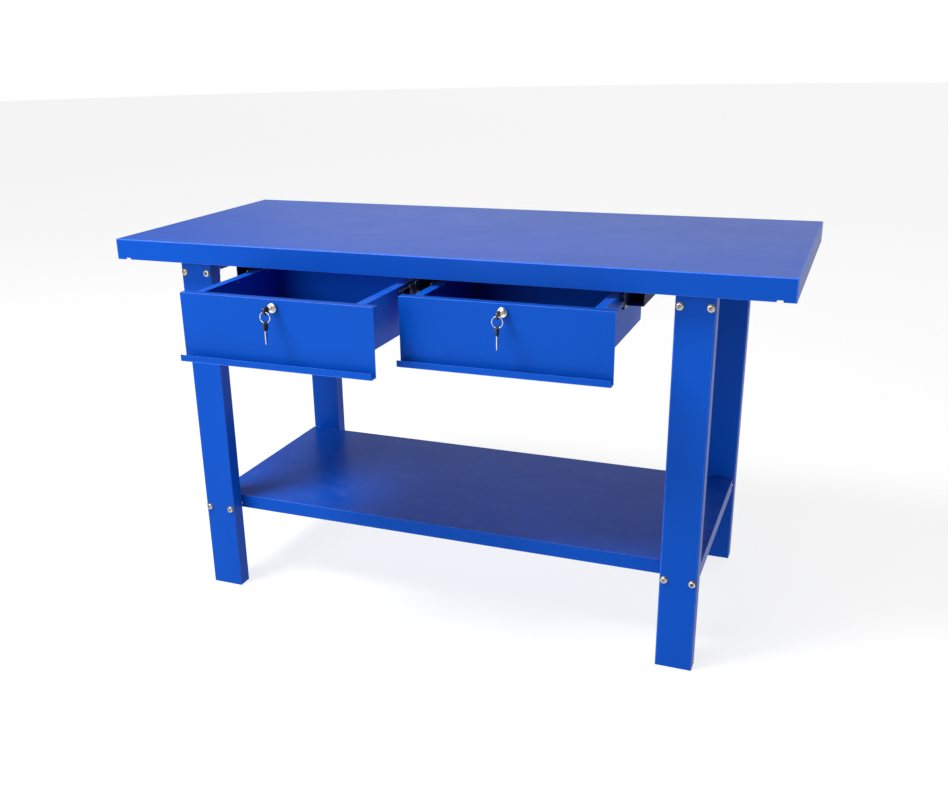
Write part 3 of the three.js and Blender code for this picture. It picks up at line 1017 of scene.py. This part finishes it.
class BENCH_OT_keys(bpy.types.Operator):
    """Keys with a moulded head and a metal blade"""

    bl_idname = "bench.keys"
    bl_label = "Keys"

    def execute(self, context):
        for side in SIDES:
            self.key(f"{side}_key", 1)
            self.key(f"{side}_spare_key", 2)
        return {"FINISHED"}

    @staticmethod
    def key(node, axis):
        """A key in a lock has its head at -Y (axis 1), and a hanging one at the top (axis 2)."""
        piece = sheet_piece(node, "key_bow_plastic", 0.0007, 0.0005, thin=0.0, shortest=0.0002)
        piece.data.materials.append(finish("key_blade_nickel"))
        low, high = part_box(node)
        head_length = 0.0191
        for face in piece.data.polygons:
            if axis == 1:
                along = face.center[axis] - low[axis]
            else:
                along = high[axis] - face.center[axis]
            if along > head_length:
                face.material_index = 1


class BENCH_OT_key_rings(bpy.types.Operator):
    """Split rings of flat wire, wound twice"""

    bl_idname = "bench.key_rings"
    bl_label = "Key rings"

    def execute(self, context):
        for node in nodes_named("_key_ring"):
            low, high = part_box(node)
            thick = high.y - low.y
            mesh = self.ring((low + high) / 2, (high.z - low.z) / 2 - thick / 2, thick)
            chrome = [finish("lock_chrome")]
            new_piece(node + "_finished", mesh, chrome, body_of_node(node), "chrome", (node,))
        return {"FINISHED"}

    @staticmethod
    def ring(centre, radius, thick):
        """One closed wire along a screw line, with twelve corners across."""
        shape = bmesh.new()
        wire = thick / 4
        steps, corners = 128, 12
        start, sweep = 0.25, 3.96  # in half turns
        sections = []
        for step in range(steps + 1):
            share = step / steps
            angle = math.pi * (start + sweep * share)
            out = Vector((math.cos(angle), 0.0, math.sin(angle)))
            middle = centre + out * radius + Vector((0.0, (share - 0.5) * thick / 2, 0.0))
            section = []
            for corner in range(corners):
                turn = 2 * math.pi * corner / corners
                side = out * (math.cos(turn) * thick * 0.44)
                rise = Vector((0.0, math.sin(turn) * wire * 0.94, 0.0))
                section.append(shape.verts.new(middle + side + rise))
            sections.append(section)
        skin(shape, sections)
        return shaded("split_ring", shape, 50.0)


class BENCH_OT_stage(bpy.types.Operator):
    """Pale floor, soft studio light and the camera"""

    bl_idname = "bench.stage"
    bl_label = "Stage"

    def execute(self, context):
        stage = context.scene.bench_stage
        self.floor()
        self.sky(context.scene, stage.sky_front, stage.sky_back)
        for name, (place, aim, size) in LAMPS.items():
            self.light(name, place, aim, size, getattr(stage, f"{name}_power"))
        self.camera(context.scene, stage)
        return {"FINISHED"}

    @staticmethod
    def floor():
        shape = bmesh.new()
        bmesh.ops.create_circle(shape, cap_ends=True, radius=30.0, segments=64)
        mesh = shaded("floor", shape)
        mesh.materials.append(studio_floor("studio_floor", (0.24, 0.24, 0.24)))
        floor = bpy.data.objects.new("floor", mesh)
        floor.location.z = cad_box[0].z - FLOOR_DROP
        bpy.context.collection.objects.link(floor)

    @staticmethod
    def sky(scene, front, back):
        world = bpy.data.worlds.new("studio")
        world.use_nodes = True
        nodes = Nodes(world.node_tree)
        background = world.node_tree.nodes["Background"]
        background.inputs["Color"].default_value = (1.0, 1.0, 1.0, 1.0)
        direction = nodes.add("ShaderNodeTexCoord", output="Generated")
        height = nodes.add("ShaderNodeSeparateXYZ", None, {"Vector": direction}, "Z")

        def towards(x, y):
            settings = {"operation": "DOT_PRODUCT"}
            inputs = {0: direction, 1: (x, y, 0.0)}
            return nodes.add("ShaderNodeVectorMath", settings, inputs, "Value")

        rear = towards(-0.30, 0.95).between(-0.7, 0.7)
        # the sky is dimmed above the horizon at the left, where the worktop mirrors it
        dimmed = (1.0 - towards(0.45, 0.89).between(0.36, 0.60)) * height.between(0.05, 0.16)
        strength = (rear * (back - front) + front) * (1.0 - dimmed * 0.75)
        nodes.feed(background.inputs["Strength"], strength)
        scene.world = world
        scene.view_settings.view_transform = "Standard"

    @staticmethod
    def light(name, place, aim, size, power):
        lamp = bpy.data.lights.new(name, "AREA")
        lamp.shape = "DISK"
        lamp.size = size
        lamp.energy = power
        holder = bpy.data.objects.new(name, lamp)
        holder.location = place
        away = Vector(place) - Vector(aim)
        holder.rotation_euler = away.to_track_quat("Z", "Y").to_euler()
        bpy.context.collection.objects.link(holder)

    @staticmethod
    def camera(scene, stage):
        view = bpy.data.cameras.new("camera")
        view.sensor_width = 36.0
        view.lens = stage.lens
        view.shift_x, view.shift_y = CAMERA_SHIFT
        view.clip_end = 100.0
        camera = bpy.data.objects.new("camera", view)
        camera.location = stage.camera_place
        camera.rotation_euler = Euler(stage.camera_turn, "XYZ")
        bpy.context.collection.objects.link(camera)
        scene.camera = camera


# ------------------------------------------------------------------ panel and registration

PIECES = (
    "worktop",
    "legs",
    "rails",
    "shelf",
    "leg_bolts",
    "hangers",
    "slides",
    "drawer_fronts",
    "drawer_boxes",
    "locks",
    "keys",
    "key_rings",
    "stage",
)


class BENCH_PT_workbench(bpy.types.Panel):
    """Pieces and settings of the workbench"""

    bl_label = "Workbench"
    bl_idname = "BENCH_PT_workbench"
    bl_space_type = "VIEW_3D"
    bl_region_type = "UI"
    bl_category = "Workbench"

    def draw(self, context):
        for settings in (
            context.scene.bench_finish,
            context.scene.bench_edges,
            context.scene.bench_fasteners,
            context.scene.bench_stage,
        ):
            box = self.layout.box()
            for label in settings.__annotations__:
                box.prop(settings, label)
        for piece in PIECES:
            self.layout.operator(f"bench.{piece}")


CLASSES = (
    BenchFinish,
    BenchEdges,
    BenchFasteners,
    BenchStage,
    BENCH_OT_worktop,
    BENCH_OT_legs,
    BENCH_OT_rails,
    BENCH_OT_shelf,
    BENCH_OT_leg_bolts,
    BENCH_OT_hangers,
    BENCH_OT_slides,
    BENCH_OT_drawer_fronts,
    BENCH_OT_drawer_boxes,
    BENCH_OT_locks,
    BENCH_OT_keys,
    BENCH_OT_key_rings,
    BENCH_OT_stage,
    BENCH_PT_workbench,
)


def register():
    for made in CLASSES:
        bpy.utils.register_class(made)
    bpy.types.Scene.bench_finish = bpy.props.PointerProperty(type=BenchFinish)
    bpy.types.Scene.bench_edges = bpy.props.PointerProperty(type=BenchEdges)
    bpy.types.Scene.bench_fasteners = bpy.props.PointerProperty(type=BenchFasteners)
    bpy.types.Scene.bench_stage = bpy.props.PointerProperty(type=BenchStage)


def unregister():
    del bpy.types.Scene.bench_stage
    del bpy.types.Scene.bench_fasteners
    del bpy.types.Scene.bench_edges
    del bpy.types.Scene.bench_finish
    for made in reversed(CLASSES):
        bpy.utils.unregister_class(made)


def main():
    register()
    for piece in PIECES:
        getattr(bpy.ops.bench, piece)()


if __name__ == "__main__":
    main()
